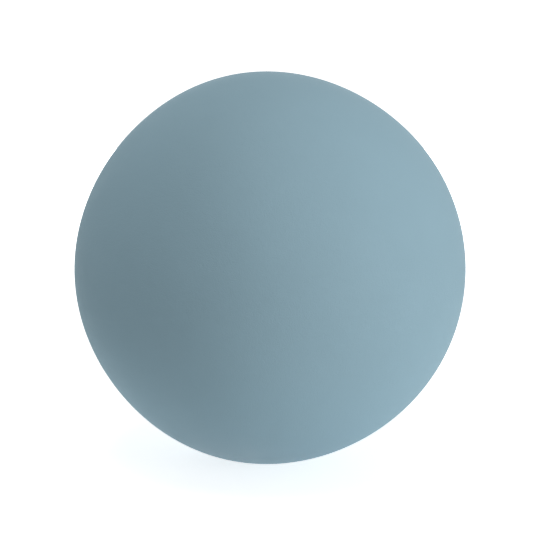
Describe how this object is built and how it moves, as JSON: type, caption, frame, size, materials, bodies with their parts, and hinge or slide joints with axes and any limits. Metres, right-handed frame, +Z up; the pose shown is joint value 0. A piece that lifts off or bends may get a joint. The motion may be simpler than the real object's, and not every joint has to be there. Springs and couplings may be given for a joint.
{
  "type": "pilates ball",
  "caption": "Soft air-filled exercise ball with a one-piece matte skin and a flush valve whose ribbed stopper pulls out.",
  "frame": {"origin": "middle of the flat under the ball, where it rests on the floor", "axes": "+Z up, +Y out of the ball along the axis of the valve in its back"},
  "size_m": [0.2, 0.1998, 0.1984],
  "materials": {
    "soft_skin": "matte dusty blue soft vinyl",
    "valve_insert": "matte dusty blue moulded vinyl",
    "stopper": "milky white soft plastic"
  },
  "bodies": {
    "ball": {"ball_skin": "soft_skin", "valve_bush": "valve_insert"},
    "plug": {"valve_plug": "stopper"}
  },
  "joints": [
    {"name": "plug_pull", "type": "slide", "parent": "ball", "child": "plug", "axis": [0, 1, 0], "range_m": [0, 0.03]}
  ]
}
